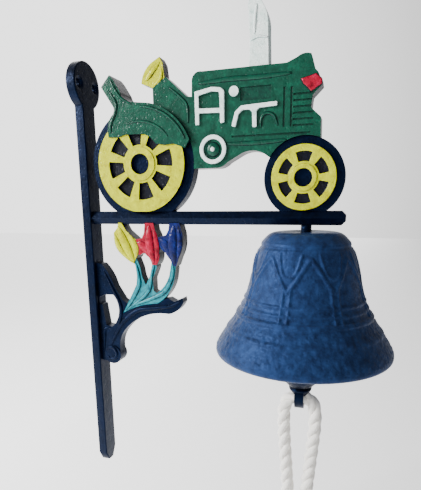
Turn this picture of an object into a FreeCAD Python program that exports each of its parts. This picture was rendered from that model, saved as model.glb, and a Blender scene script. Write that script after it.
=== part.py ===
"""Yard dinner bell: a cast wall bracket with a farm tractor on its arm, and a bell with a pull rope below.

Millimetres. The origin is midway between the two screw holes, on the wall plane. +X points out from the wall
along the arm, +Z points up, and the tractor's right-hand side faces -Y.
"""
import FreeCAD, Part
import math
import os
import Sketcher

DOCUMENT = FreeCAD.newDocument("YardDinnerBell")

# ------------------------------------------------------------------------------------------------------------
# Driving dimensions: alias, millimetres (or degrees, or a count), and what it is
# ------------------------------------------------------------------------------------------------------------
DRIVING = [
    ("plate_thickness", 7, "wall bar, from the wall to its front face"),
    ("bar_width", 14.5, "wall bar, side to side"),
    ("head_radius", 15.5, "round head of the wall bar"),
    ("bar_drop", 287, "from the screw holes down to the bar's lower end"),
    ("bar_taper", 8, "height of the pointed lower end"),
    ("bar_tip_width", 6, "width of the blunt point"),
    ("screw_spacing", 19, "between the two screw holes"),
    ("screw_hole_radius", 2.25, "screw holes"),
    ("countersink_radius", 4, "screw holes at the front face"),
    ("arm_drop", 90, "from the screw holes down to the arm's middle"),
    ("arm_height", 8.8, "arm, top to bottom"),
    ("arm_depth", 13, "arm, across its two side ridges"),
    ("arm_edge_depth", 7.6, "arm, across its flat top and its flat bottom"),
    ("arm_overhang", 24, "from the bell's axis to the arm's tip"),
    ("arm_tip_chamfer", 2.5, "slope at the arm's tip"),
    ("rear_tyre_clearance", 3.5, "between the wall bar's front face and the rear tyre"),
    ("wheelbase", 109, "from the rear axle to the front axle"),
    ("hanger_setback", 2.2, "from the front axle out to the bell's axis"),
    ("rear_tyre_sunk", 6.4, "depth of the rear tyre's circle below the arm's top"),
    ("rear_tyre_radius", 38, "rear tyre"),
    ("rear_tyre_depth", 9, "rear tyre, side to side"),
    ("rear_rim_radius", 32, "rear wheel where the tyre starts"),
    ("rear_wheel_depth", 15, "rear wheel, side to side"),
    ("rear_window_inner", 12.5, "rear wheel windows, inner radius"),
    ("rear_window_outer", 23.5, "rear wheel windows, outer radius"),
    ("rear_boss_radius", 10.8, "raised boss round the rear axle hole"),
    ("rear_hub_radius", 6.7, "axle hole of the rear wheel"),
    ("front_axle_height", 20.1, "front axle above the arm's top"),
    ("front_tyre_radius", 24.7, "front tyre"),
    ("front_tyre_depth", 8, "front tyre, side to side"),
    ("front_rim_radius", 19.8, "front wheel where the tyre starts"),
    ("front_wheel_depth", 13, "front wheel, side to side"),
    ("front_window_inner", 9.8, "front wheel windows, inner radius"),
    ("front_window_outer", 15.4, "front wheel windows, outer radius"),
    ("front_boss_radius", 8.2, "raised boss round the front axle hole"),
    ("front_hub_radius", 5.3, "axle hole of the front wheel"),
    ("boss_rise", 0.6, "hub boss above the wheel's face"),
    ("web_recess", 2.4, "wheel web below the wheel's face"),
    ("axle_recess", 2, "axle end below the wheel's face"),
    ("body_depth", 11, "tractor body, side to side"),
    ("relief", 1.5, "raised details above the body's side"),
    ("groove_depth", 0.8, "grooves and the sunk panel in the body's side"),
    ("groove_width", 1.1, "grooves in the body's side"),
    ("fender_depth", 17, "fender and seat, side to side"),
    ("nose_depth", 13, "nose cap, side to side"),
    ("exhaust_depth", 10, "exhaust stack, side to side"),
    ("steering_depth", 9, "steering wheel, side to side"),
    ("pulley_radius", 9, "belt pulley on the body's side"),
    ("pulley_ring", 2.8, "width of the pulley's ring"),
    ("filler_radius", 3, "filler cap on the body's side"),
    ("scroll_reach", 69, "from the wall bar's face to the tip of the right leaf"),
    ("scroll_drop", 106.5, "from the arm's underside to the knob's lower side"),
    ("scroll_depth", 8, "scroll brace, side to side"),
    ("knob_radius", 7, "rolled knob at the scroll's foot"),
    ("knob_depth", 10, "knob, side to side"),
    ("stem_depth", 8, "tulip stems, side to side"),
    ("tulip_depth", 9.6, "tulip flowers, side to side"),
    ("bell_gap", 4.2, "from the arm's underside to the top of the bell"),
    ("bell_mouth_radius", 57.8, "bell, at its widest"),
    ("bell_height", 80.5, "bell, crown to lip"),
    ("bell_wall", 4, "bell's wall"),
    ("crown_thickness", 5, "bell's crown"),
    ("shank_radius", 3.4, "eye bolt's shank"),
    ("shank_in_arm", 6.5, "thread of the eye bolt inside the arm"),
    ("running_clearance", 0.1, "between the bell and what it turns on"),
    ("washer_radius", 9, "washer"),
    ("washer_thickness", 1.5, "washer"),
    ("nut_flats", 11, "nut, across its flats"),
    ("nut_height", 5, "nut"),
    ("eye_drop", 8, "from the nut's underside to the middle of the bolt's eye"),
    ("eye_ring_radius", 5.4, "middle of the eye bolt's ring wire"),
    ("eye_wire_radius", 1.8, "wire of the eye bolt's ring and of the clapper's ring"),
    ("link_wire_radius", 1.5, "link's wire"),
    ("link_bow_radius", 4, "link's bow, at the wire's middle"),
    ("link_pitch", 12, "link, between the middles of its two bows' wires"),
    ("link_clearance", 0.15, "between the link and each ring"),
    ("clapper_ring_radius", 4.8, "middle of the clapper's ring wire"),
    ("clapper_stem_radius", 3.5, "clapper's stem"),
    ("clapper_ball_radius", 13.5, "clapper's ball"),
    ("clapper_ball_drop", 72, "from the upper pivot to the ball's middle"),
    ("tail_drop", 19, "from the ball's middle to the middle of the rope hole"),
    ("tail_radius", 8.5, "flat tail eye"),
    ("tail_thickness", 6, "flat tail eye"),
    ("rope_hole_radius", 5.8, "hole in the tail eye"),
    ("rope_diameter", 9.5, "pull rope"),
]

SHEET = DOCUMENT.addObject("Spreadsheet::Sheet", "Sizes")
for row, (alias, amount, meaning) in enumerate(DRIVING, start=1):
    SHEET.set(f"A{row}", alias)
    SHEET.set(f"B{row}", str(amount))
    SHEET.set(f"C{row}", meaning)
    SHEET.setAlias(f"B{row}", alias)
DOCUMENT.recompute()


class Length:
    """A size that carries both its formula over the sheet and its present value."""

    def __init__(self, formula, value):
        self.formula = formula
        self.value = value

    def __add__(self, other):
        other = length(other)
        return Length(f"({self.formula} + {other.formula})", self.value + other.value)

    def __sub__(self, other):
        other = length(other)
        return Length(f"({self.formula} - {other.formula})", self.value - other.value)

    def __mul__(self, other):
        other = length(other)
        return Length(f"{self.formula} * {other.formula}", self.value * other.value)

    def __truediv__(self, other):
        other = length(other)
        return Length(f"{self.formula} / {other.formula}", self.value / other.value)

    def __neg__(self):
        return self * -1

    __radd__ = __add__
    __rmul__ = __mul__


def length(amount):
    """Any plain number as a Length; a Length comes back as it is."""
    if isinstance(amount, Length):
        return amount
    return Length(f"({amount:g})", float(amount))


def size(alias):
    """The named cell of the sheet."""
    return Length(f"Sizes.{alias}", float(SHEET.get(alias)))


ZERO = length(0)

# Places that several pieces share, each worked out from the driving dimensions
ARM_TOP = size("arm_height") / 2 - size("arm_drop")
ARM_BOTTOM = -size("arm_drop") - size("arm_height") / 2
PLATE_FACE = size("plate_thickness")
REAR_AXLE_X = PLATE_FACE + size("rear_tyre_clearance") + size("rear_tyre_radius")
AXLE_UP = {"rear": size("rear_tyre_radius") - size("rear_tyre_sunk"), "front": size("front_axle_height")}
FRONT_AXLE_X = REAR_AXLE_X + size("wheelbase")
HANGER_X = FRONT_AXLE_X + size("hanger_setback")
ARM_END = HANGER_X + size("arm_overhang")
BODY_SIDE = size("body_depth") / 2
BELL_TOP = ARM_BOTTOM - size("bell_gap")
CROWN_UNDERSIDE = BELL_TOP - size("crown_thickness")
WASHER_TOP = CROWN_UNDERSIDE - size("running_clearance")
NUT_TOP = WASHER_TOP - size("washer_thickness")
NUT_BOTTOM = NUT_TOP - size("nut_height")
EYE_Z = NUT_BOTTOM - size("eye_drop")
# The link's upper bow lies on the eye ring's lower wire, and the clapper's ring lies on the link's lower bow
WIRES_APART = size("eye_wire_radius") + size("link_wire_radius") + size("link_clearance")
LINK_TOP_Z = EYE_Z - size("eye_ring_radius") + WIRES_APART
LINK_BOTTOM_Z = LINK_TOP_Z - size("link_pitch")
CLAPPER_TOP_Z = LINK_BOTTOM_Z + WIRES_APART
CLAPPER_RING_Z = CLAPPER_TOP_Z - size("clapper_ring_radius")
BALL_Z = LINK_TOP_Z - size("clapper_ball_drop")
ROPE_HOLE_Z = BALL_Z - size("tail_drop")

PIECES = {}


# ------------------------------------------------------------------------------------------------------------
# Drawing helpers
# ------------------------------------------------------------------------------------------------------------
class Via(tuple):
    """A point that an arc passes through, between the corner before it and the corner after it."""


def via(across, up):
    return Via((across, up))


def held_points(points):
    """The same outline with each point as two Lengths."""
    result = []
    for point in points:
        pair = (length(point[0]), length(point[1]))
        result.append(Via(pair) if isinstance(point, Via) else pair)
    return result


def scaled(points, across_scale, up_scale):
    """The same outline with each point as two Lengths, stretched with the sizes it belongs to."""
    result = []
    for point in points:
        pair = (across_scale * point[0], up_scale * point[1])
        result.append(Via(pair) if isinstance(point, Via) else pair)
    return result


def vector(point):
    return FreeCAD.Vector(point[0].value, point[1].value, 0)


def hold(sketch, constraints, bound, geometry, end, point):
    """Ties one end of a curve to its two distances from the sketch's origin."""
    for kind, distance in (("DistanceX", point[0]), ("DistanceY", point[1])):
        constraints.append(Sketcher.Constraint(kind, -1, 1, geometry, end, distance.value))
        bound.append((len(constraints) - 1, distance.formula))


def draw_loop(sketch, points):
    """Adds one closed loop of lines and three-point arcs, fully held by the points' Lengths."""
    points = held_points(points)
    first = sketch.ConstraintCount
    constraints = []
    bound = []
    edges = []
    corners = [index for index, point in enumerate(points) if not isinstance(point, Via)]
    for place, index in enumerate(corners):
        following = corners[(place + 1) % len(corners)]
        start = points[index]
        end = points[following]
        between = points[(index + 1) % len(points)]
        if isinstance(between, Via):
            arc = Part.Arc(vector(start), vector(between), vector(end))
            edge = sketch.addGeometry(arc)
            forward = sketch.getPoint(edge, 1).distanceToPoint(vector(start)) < 1e-6
            start_end = 1 if forward else 2
            mark = sketch.addGeometry(Part.Point(vector(between)), True)
            constraints.append(Sketcher.Constraint("PointOnObject", mark, 1, edge))
            hold(sketch, constraints, bound, mark, 1, between)
        else:
            edge = sketch.addGeometry(Part.LineSegment(vector(start), vector(end)))
            start_end = 1
        edges.append((edge, start_end))
        hold(sketch, constraints, bound, edge, start_end, start)
    for place, (edge, start_end) in enumerate(edges):
        after, after_end = edges[(place + 1) % len(edges)]
        constraints.append(Sketcher.Constraint("Coincident", edge, 3 - start_end, after, after_end))
    sketch.addConstraint(constraints)
    for index, formula in bound:
        sketch.setExpression(f"Constraints[{first + index}]", formula)


def draw_circle(sketch, across, up, radius):
    """Adds a circle held by its middle and its radius."""
    across = length(across)
    up = length(up)
    radius = length(radius)
    first = sketch.ConstraintCount
    circle = Part.Circle(FreeCAD.Vector(across.value, up.value, 0), FreeCAD.Vector(0, 0, 1), radius.value)
    edge = sketch.addGeometry(circle)
    constraints = []
    bound = []
    hold(sketch, constraints, bound, edge, 3, (across, up))
    constraints.append(Sketcher.Constraint("Radius", edge, radius.value))
    bound.append((len(constraints) - 1, radius.formula))
    sketch.addConstraint(constraints)
    for index, formula in bound:
        sketch.setExpression(f"Constraints[{first + index}]", formula)


def place(thing, across, along, up):
    """Binds an object's position to its three Lengths."""
    for axis, distance in zip("xyz", (across, along, up)):
        thing.setExpression(f"Placement.Base.{axis}", length(distance).formula)


def new_body(name, across=ZERO, along=ZERO, up=ZERO):
    body = DOCUMENT.addObject("PartDesign::Body", name)
    place(body, across, along, up)
    return body


def new_sketch(body, name, plane):
    """A sketch on one of the body's own origin planes."""
    sketch = body.newObject("Sketcher::SketchObject", name)
    support = [feature for feature in body.Origin.OriginFeatures if feature.Role == plane][0]
    sketch.AttachmentSupport = [(support, "")]
    sketch.MapMode = "FlatFace"
    return sketch


def pad(body, name, sketch, depth, side="Symmetric", reverse=False):
    feature = body.newObject("PartDesign::Pad", name)
    feature.Profile = sketch
    feature.SideType = side
    feature.Reversed = reverse
    feature.setExpression("Length", length(depth).formula)
    return feature


def slab(name, loops, depth, origin, circles=()):
    """A flat piece drawn in the side view and as thick as depth, half to each side."""
    body = new_body(name, origin[0], ZERO, origin[1])
    sketch = new_sketch(body, name + "_outline", "XZ_Plane")
    for loop in loops:
        draw_loop(sketch, loop)
    for across, up, radius in circles:
        draw_circle(sketch, across, up, radius)
    pad(body, name + "_pad", sketch, depth)
    return body


def cylinder(name, radius, height, origin, axis="Z"):
    """A cylinder whose base sits at origin and that runs along the axis."""
    thing = DOCUMENT.addObject("Part::Cylinder", name)
    thing.setExpression("Radius", length(radius).formula)
    thing.setExpression("Height", length(height).formula)
    turns = {"Z": (FreeCAD.Vector(0, 0, 1), 0), "X": (FreeCAD.Vector(0, 1, 0), 90),
             "Y": (FreeCAD.Vector(1, 0, 0), -90)}
    thing.Placement = FreeCAD.Placement(FreeCAD.Vector(0, 0, 0), FreeCAD.Rotation(*turns[axis]))
    place(thing, *origin)
    return thing


def disc(name, radius, depth, across, up):
    """A round plate across the side view, half of its depth to each side."""
    return cylinder(name, radius, depth, (across, -length(depth) / 2, up), "Y")


def box(name, corner, extents):
    thing = DOCUMENT.addObject("Part::Box", name)
    for key, extent in zip(("Length", "Width", "Height"), extents):
        thing.setExpression(key, length(extent).formula)
    place(thing, *corner)
    return thing


def torus(name, ring_radius, wire_radius, origin, axis):
    """A ring of round wire, with the axis of its hole along X or Y."""
    thing = DOCUMENT.addObject("Part::Torus", name)
    thing.setExpression("Radius1", ring_radius.formula)
    thing.setExpression("Radius2", wire_radius.formula)
    turns = {"X": (FreeCAD.Vector(0, 1, 0), 90), "Y": (FreeCAD.Vector(1, 0, 0), -90)}
    thing.Placement = FreeCAD.Placement(FreeCAD.Vector(0, 0, 0), FreeCAD.Rotation(*turns[axis]))
    place(thing, *origin)
    return thing


def cut(name, base, *tools):
    """The base with each tool taken out of it in turn."""
    for count, tool in enumerate(tools):
        result = DOCUMENT.addObject("Part::Cut", f"{name}_cut{count}")
        result.Base = base
        result.Tool = tool
        base = result
    return base


def fuse(name, *shapes):
    result = DOCUMENT.addObject("Part::MultiFuse", name + "_fused")
    result.Shapes = list(shapes)
    return result


def keep(name, thing):
    """Registers a finished sub-part under its node's name."""
    thing.Label = name
    PIECES[name] = thing
    return thing


# ------------------------------------------------------------------------------------------------------------
# Wall bar: flat bar with a round head and two countersunk screw holes side by side
# ------------------------------------------------------------------------------------------------------------
def wall_bar():
    body = new_body("bar_body")
    sketch = new_sketch(body, "bar_outline", "YZ_Plane")
    half = size("bar_width") / 2
    tip = size("bar_tip_width") / 2
    low = -size("bar_drop")
    shoulder = low + size("bar_taper")
    radius = size("head_radius")
    # The bar's edges meet the round head where its circle is as wide as the bar
    rise = math.sqrt(radius.value ** 2 - half.value ** 2)
    neck = Length(f"(-sqrt({radius.formula} ^ 2 - ({half.formula}) ^ 2))", -rise)
    draw_loop(sketch, [(half, neck), (half, shoulder), (tip, low), (-tip, low), (-half, shoulder), (-half, neck),
                       via(ZERO, radius)])
    pad(body, "bar_pad", sketch, PLATE_FACE, side="One side")
    tools = []
    sink = size("countersink_radius") - size("screw_hole_radius")
    for side, sign in (("right", -1), ("left", 1)):
        along = size("screw_spacing") * sign / 2
        hole = cylinder(f"screw_hole_{side}", size("screw_hole_radius"), PLATE_FACE, (ZERO, along, ZERO), "X")
        cone = DOCUMENT.addObject("Part::Cone", f"countersink_{side}")
        cone.setExpression("Radius1", size("screw_hole_radius").formula)
        cone.setExpression("Radius2", size("countersink_radius").formula)
        cone.setExpression("Height", sink.formula)
        cone.Placement = FreeCAD.Placement(FreeCAD.Vector(), FreeCAD.Rotation(FreeCAD.Vector(0, 1, 0), 90))
        place(cone, PLATE_FACE - sink, along, ZERO)
        tools += [hole, cone]
    keep("wall_bar", cut("wall_bar", body, *tools))


# ------------------------------------------------------------------------------------------------------------
# Arm: six-sided bar out from the wall bar, with a threaded blind hole for the eye bolt
# ------------------------------------------------------------------------------------------------------------
def arm():
    half = size("arm_height") / 2
    ridge = size("arm_depth") / 2
    edge = size("arm_edge_depth") / 2
    section = new_body("arm_section", PLATE_FACE, ZERO, -size("arm_drop"))
    sketch = new_sketch(section, "arm_section_outline", "YZ_Plane")
    draw_loop(sketch, [(-edge, half), (edge, half), (ridge, ZERO), (edge, -half), (-edge, -half), (-ridge, ZERO)])
    pad(section, "arm_section_pad", sketch, ARM_END - PLATE_FACE, side="One side")
    slope = size("arm_tip_chamfer")
    end = ARM_END - PLATE_FACE
    side = slab("arm_side", [[(ZERO, half), (end - slope, half), (end, half - slope), (end, slope - half),
                              (end - slope, -half), (ZERO, -half)]], size("arm_depth"),
                (PLATE_FACE, -size("arm_drop")))
    common = DOCUMENT.addObject("Part::Common", "arm_blank")
    common.Base = section
    common.Tool = side
    hole = cylinder("bolt_hole", size("shank_radius"), size("shank_in_arm"), (HANGER_X, ZERO, ARM_BOTTOM))
    return keep("arm", cut("arm", common, hole))


# ------------------------------------------------------------------------------------------------------------
# Wheels and tyres: cast discs with sunk windows, standing on the arm
# ------------------------------------------------------------------------------------------------------------
def wheel_blank(name, end, across, up, count, phase):
    """A disc with a ring of windows sunk into both faces and a hole for the axle."""
    body = new_body(name + "_body", across, ZERO, up)
    body.Placement = FreeCAD.Placement(FreeCAD.Vector(), FreeCAD.Rotation(FreeCAD.Vector(0, 1, 0), phase))
    place(body, across, ZERO, up)
    depth = size(f"{end}_wheel_depth")
    rim = new_sketch(body, name + "_rim", "XZ_Plane")
    draw_circle(rim, ZERO, ZERO, size(f"{end}_rim_radius"))
    pad(body, name + "_rim_pad", rim, depth)
    inner = size(f"{end}_window_inner")
    outer = size(f"{end}_window_outer")
    # Each window takes 62 % of its share of the circle; the spoke between two windows keeps the rest
    half_angle = math.radians(180 / count) * 0.62
    cosine = math.cos(half_angle)
    sine = math.sin(half_angle)
    window = new_sketch(body, name + "_window", "XZ_Plane")
    draw_loop(window, [(inner * cosine, inner * -sine), (outer * cosine, outer * -sine), via(outer, ZERO),
                       (outer * cosine, outer * sine), (inner * cosine, inner * sine), via(inner, ZERO)])
    pocket = body.newObject("PartDesign::Pocket", name + "_window_pocket")
    pocket.Profile = window
    pocket.SideType = "Symmetric"
    pocket.setExpression("Length", depth.formula)
    pattern = body.newObject("PartDesign::PolarPattern", name + "_windows")
    pattern.Originals = [pocket]
    pattern.Axis = (window, ["N_Axis"])
    pattern.Angle = 360
    pattern.Occurrences = count
    body.Tip = pattern
    web = new_sketch(body, name + "_web", "XZ_Plane")
    draw_circle(web, ZERO, ZERO, (outer + size(f"{end}_rim_radius")) / 2)
    pad(body, name + "_web_pad", web, depth - size("web_recess") * 2)
    boss_depth = depth + size("boss_rise") * 2
    boss = disc(name + "_boss", size(f"{end}_boss_radius"), boss_depth, across, up)
    hub = disc(name + "_hub_hole", size(f"{end}_hub_radius"), boss_depth, across, up)
    return cut(name + "_blank", fuse(name, body, boss), hub)


def wheels(fender):
    """Both wheels with their tyres and axles; the deck trims what would sink into the arm."""
    under_deck = box("under_deck", (ZERO, -size("arm_depth") * 2, ARM_TOP - size("rear_tyre_radius")),
                     (ARM_END * 2, size("arm_depth") * 4, size("rear_tyre_radius")))
    discs = []
    for end, across, count, phase in (("rear", REAR_AXLE_X, 8, -9), ("front", FRONT_AXLE_X, 6, 30)):
        up = ARM_TOP + AXLE_UP[end]
        trims = [under_deck, fender] if end == "rear" else [under_deck]
        tyre = disc(end + "_tyre_disc", size(f"{end}_tyre_radius"), size(f"{end}_tyre_depth"), across, up)
        bore = disc(end + "_tyre_bore", size(f"{end}_rim_radius"), size(f"{end}_tyre_depth"), across, up)
        keep(f"{end}_tyre", cut(end + "_tyre", tyre, bore, *trims))
        blank = wheel_blank(end + "_wheel", end, across, up, count, phase)
        keep(f"{end}_wheel", cut(end + "_wheel", blank, *trims))
        depth = size(f"{end}_wheel_depth") - size("axle_recess") * 2
        axle = disc(end + "_axle_plug", size(f"{end}_hub_radius"), depth, across, up)
        keep(f"{end}_axle", axle)
        # The body of the tractor ends at each whole wheel, tyre included
        discs.append(disc(end + "_wheel_space", size(f"{end}_tyre_radius"), size(f"{end}_wheel_depth"), across, up))
    return discs


# ------------------------------------------------------------------------------------------------------------
# Tractor: every outline is drawn from the rear axle's foot on the arm, and stretches with the wheelbase
# ------------------------------------------------------------------------------------------------------------
DECK = (REAR_AXLE_X, ARM_TOP)
DRAWN_WHEELBASE = 109
ALONG_DECK = size("wheelbase") / DRAWN_WHEELBASE
ABOVE_DECK = length(1)


def on_deck(points):
    return scaled(points, ALONG_DECK, ABOVE_DECK)


def fender_and_seat():
    # The guard's outer edge stands just outside the tyre, so it follows the tyre's circle round the rear axle
    guard = size("rear_tyre_radius") + 0.7
    rise = AXLE_UP["rear"]
    top = [(-26, 81.5), (-19.5, 88.5), (-17, 85.5), (-12, 77.5), via(-9.5, 73), (-5, 71)]
    around = [(guard * math.sin(math.radians(turn)), rise + guard * math.cos(math.radians(turn)))
              for turn in (12, 40, 69)]
    below = [(33, 40.5), (25, 43.5), (18.5, 43), (12.5, 44), (8.5, 48.5), (4, 50.5), (-10, 50.8), (-15.5, 49.2),
             (-22.3, 49.6), via(-22.6, 56), (-19.5, 63), via(-17.3, 66.5), (-18.5, 70)]
    outline = on_deck(top) + [around[0], Via(around[1]), around[2]] + on_deck(below)
    return keep("fender", slab("fender_body", [outline], size("fender_depth"), DECK))


def nose_cap():
    outline = [(105.2, 76.2), (114.5, 78.5), (117.8, 75.5), (118.3, 72.5), (111.8, 68.3), (106.8, 73.3)]
    return keep("nose_cap", slab("nose_cap_body", [on_deck(outline)], size("nose_depth"), DECK))


def groove(name, left, low, wide, high):
    """A sunk rectangle in both sides of the body, from its lower left corner."""
    sunk = size("groove_depth")
    tools = []
    for side, along in (("right", -BODY_SIDE), ("left", BODY_SIDE - sunk)):
        corner = (REAR_AXLE_X + ALONG_DECK * left, along, ARM_TOP + low)
        tools.append(box(f"{name}_{side}", corner, (wide, sunk, high)))
    return tools


def body_grooves():
    """The bonnet's sunk panel, the seam above the sump, and the grille's bars."""
    width = size("groove_width")
    tools = groove("bonnet_panel", 69, 66.7, length(19), length(7.7))
    tools += groove("sump_seam", 63.5, 45.5, length(48.5), width)
    for count, across in enumerate((95.5, 99.8)):
        tools += groove(f"grille_post{count}", across, 50, width, length(22.5))
    for count in range(6):
        tools += groove(f"grille_bar{count}", 101.5, 50 + 3.5 * count, length(12), width)
    return tools


def tractor_body(*neighbours):
    outline = [(10.3, 66), (10.3, 78.7), (19.7, 84.7), (34, 71.8), (37.2, 71.5), (37.4, 80), via(38.6, 84), (44, 85.7),
               (97, 85.6), (103, 88), via(107, 89.7), (111.2, 89.2), (113.6, 81), (115.5, 79), (118.3, 72.5),
               (112.7, 66.8), (112, 60), (118, 54.5), (118.3, 42), (109, 30), (95, 28), (86.7, 33.5), via(77, 37.2),
               (68.5, 35), (60.8, 30.8), via(57, 28.2), (53, 27.5), (32.5, 27.5), (18, 45)]
    body = slab("tractor_slab", [on_deck(outline)], size("body_depth"), DECK)
    return keep("tractor_body", cut("tractor_body", body, *neighbours, *body_grooves()))


def exhaust_stack(body):
    outline = [(74.2, 84), (74.6, 100), (73.7, 116), via(74.6, 122.5), (77.5, 124.5), via(83.2, 117.5), (85.6, 106),
               (86.3, 84)]
    blank = slab("exhaust_blank", [on_deck(outline)], size("exhaust_depth"), DECK)
    keep("exhaust_stack", cut("exhaust_stack", blank, body))


def steering_wheel(body):
    outline = [(15.3, 97.2), (17.3, 93.5), (18.6, 83), (11.2, 78), (6.5, 80.4), (1.9, 82.2), via(4.6, 89.6),
               (11, 95)]
    blank = slab("steering_blank", [on_deck(outline)], size("steering_depth"), DECK)
    keep("steering_wheel", cut("steering_wheel", blank, body))


def side_detail(name, loops, circles=()):
    """A raised detail on each side of the body, one node per side."""
    for side, along, reverse in (("right", -BODY_SIDE, False), ("left", BODY_SIDE, True)):
        body = new_body(f"{name}_{side}", DECK[0], along, DECK[1])
        sketch = new_sketch(body, f"{name}_{side}_outline", "XZ_Plane")
        for loop in loops:
            draw_loop(sketch, on_deck(loop))
        for across, up, radius in circles:
            draw_circle(sketch, ALONG_DECK * across, up, radius)
        pad(body, f"{name}_{side}_pad", sketch, size("relief"), side="One side", reverse=reverse)
        keep(f"{name}_{side}", body)


def side_details():
    frame = [(39.8, 54), (39.5, 74), (50.8, 76), (56.5, 75.3), (59.2, 73), (59.2, 54.7), (56.4, 54.2), (56.3, 60.5),
             (42.5, 61), (42.5, 54)]
    window = [(42.4, 63.8), (56.3, 63.3), (55.8, 72.6), (50.8, 73.3), (42.2, 71.4)]
    side_detail("engine_frame", [frame, window])
    manifold = [(92.2, 64.8), (70, 63.8), (66, 60.5), (63.8, 52), (66.4, 51.4), (68.3, 58.7), (70.8, 61.1),
                (75.2, 61.1), (76.8, 59.5), (77.1, 50.7), (79.7, 50.7), (79.5, 60), (81.3, 61.7), (92.2, 62.2)]
    side_detail("manifold", [manifold])
    side_detail("filler_cap", [], [(65.2, 72.3, size("filler_radius"))])
    pulley = (51.4, 38.9)
    side_detail("belt_pulley", [], [(*pulley, size("pulley_radius")),
                                    (*pulley, size("pulley_radius") - size("pulley_ring"))])


# ------------------------------------------------------------------------------------------------------------
# Tulips, stems and scroll: drawn from the corner under the arm at the wall bar, and stretched with the scroll
# ------------------------------------------------------------------------------------------------------------
CORNER = (PLATE_FACE, ARM_BOTTOM)
ALONG_SCROLL = size("scroll_reach") / 69
DOWN_SCROLL = size("scroll_drop") / 106.5


def under_arm(points):
    return scaled(points, ALONG_SCROLL, DOWN_SCROLL)


def flowers(arm_piece):
    red = [(41.5, 1), (48.3, 1), (49.2, -3.8), via(52, -12), (52, -20), via(51.6, -25), (49.8, -28.5),
           (46.2, -28.7), (44.1, -21.6), (40, -20.1), (36.9, -21.8), (33.9, -20.3), (34.1, -10.5), (38.7, -9.8),
           (40.6, -6.1)]
    yellow = [(20.5, 1), (19.8, -2.4), (16.5, -6.3), via(19.5, -17.5), (31.7, -28.1), (34.6, -22.5), (34.8, -11.2),
              (26.8, -4.6), (23.5, 1)]
    blue = [(60.2, 1), (67.8, 1), (69.6, -5.7), via(69.8, -12.5), (68.2, -19.3), (64.6, -29), (62, -28.5),
            (60, -23.9), (56.6, -19.7), via(53, -16), (51.3, -9), (57.4, -7.4), (59.5, -3.7)]
    depth = size("tulip_depth")
    red_piece = keep("tulip_red", cut("tulip_red", slab("red_slab", [under_arm(red)], depth, CORNER), arm_piece))
    for name, outline in (("tulip_yellow", yellow), ("tulip_blue", blue)):
        keep(name, cut(name, slab(name + "_slab", [under_arm(outline)], depth, CORNER), arm_piece, red_piece))


def stems():
    outline = [(33.9, -32.5), (32.6, -43.5), (26.5, -55), (20.8, -65.5), via(33, -60), (48.5, -57),
               via(58.5, -48), (62.9, -37.5), (63.8, -31), (63.8, -26.5), (60.8, -26), (58.9, -35.5), via(54.8, -43.5),
               (48.5, -49.2), (46.2, -47.6), (46, -38.6), (49.4, -30.5), (49.2, -26), (46.6, -26), (43.6, -37),
               (40.2, -43.5), (37.4, -37.5), (36.2, -31), (33.6, -24), (31, -27)]
    blank = slab("stems_slab", [under_arm(outline)], size("stem_depth"), CORNER)
    flowers_cut = [PIECES[name] for name in ("tulip_yellow", "tulip_red", "tulip_blue")]
    return keep("tulip_stems", cut("tulip_stems", blank, *flowers_cut))


def scroll(stems_piece):
    outline = [(0, -28.6), (4.4, -29.2), via(10.4, -37), (14, -46), (20.5, -56), (26, -59), (45, -57), (55, -53),
               (57.5, -52.6), (62, -54.8), (68.8, -51.8), (69.2, -54.6), via(65, -60.5), (57.5, -64.2),
               via(35.5, -68), (20.8, -79.5), via(17, -87), (16.6, -97), (11, -106), (0, -104.6)]
    gap = [(0.9, -54.6), (5, -52.6), (12.8, -52.3), via(16.8, -61.5), (10.4, -77.3), (5.4, -76.4), (3, -60.4),
           (0.9, -59.6)]
    blank = slab("scroll_slab", [under_arm(outline), under_arm(gap)], size("scroll_depth"), CORNER)
    knob_x = PLATE_FACE + ALONG_SCROLL * 10
    knob_z = ARM_BOTTOM - size("scroll_drop") + size("knob_radius")
    knob = disc("knob_disc", size("knob_radius"), size("knob_depth"), knob_x, knob_z)
    keep("scroll_brace", cut("scroll_brace", fuse("scroll", blank, knob), stems_piece))


# ------------------------------------------------------------------------------------------------------------
# Bell: turned profile with a flared lip, free to turn on the eye bolt's shank
# ------------------------------------------------------------------------------------------------------------
def bell():
    wide = size("bell_mouth_radius") / 57.8
    tall = size("bell_height") / 83
    wall = size("bell_wall")
    under = size("crown_thickness")
    foot = -size("bell_height")
    bore = size("shank_radius") + size("running_clearance") / 2
    top_edge = (wide * 18.2, ZERO)
    shoulder = (wide * 27.6, tall * -6)
    waist = (wide * 38.8, tall * -44.5)
    sound_bow = (wide * 56.4, tall * -75)
    body = new_body("bell_body", HANGER_X, ZERO, BELL_TOP)
    sketch = new_sketch(body, "bell_profile", "XZ_Plane")
    draw_loop(sketch, [(bore, ZERO), top_edge, via(wide * 24.2, tall * -2.3), shoulder, (wide * 28.3, tall * -7.5),
                       via(wide * 34.4, tall * -28), waist, via(wide * 46.2, tall * -58.5), sound_bow,
                       (size("bell_mouth_radius"), tall * -79), via(wide * 57.3, tall * -81.6), (wide * 55, foot),
                       (wide * 53.4, foot + 1.2), (sound_bow[0] - wall, sound_bow[1]),
                       via(wide * 46.2 - wall, tall * -59.5), (waist[0] - wall, waist[1] - 1),
                       via(wide * 34.4 - wall, tall * -29), (wide * 28.3 - wall, tall * -7.5 - under / 2),
                       (wide * 22, -under), (bore, -under)])
    turn = body.newObject("PartDesign::Revolution", "bell_turn")
    turn.Profile = sketch
    turn.ReferenceAxis = (sketch, ["V_Axis"])
    turn.Angle = 360
    keep("bell", body)


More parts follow.
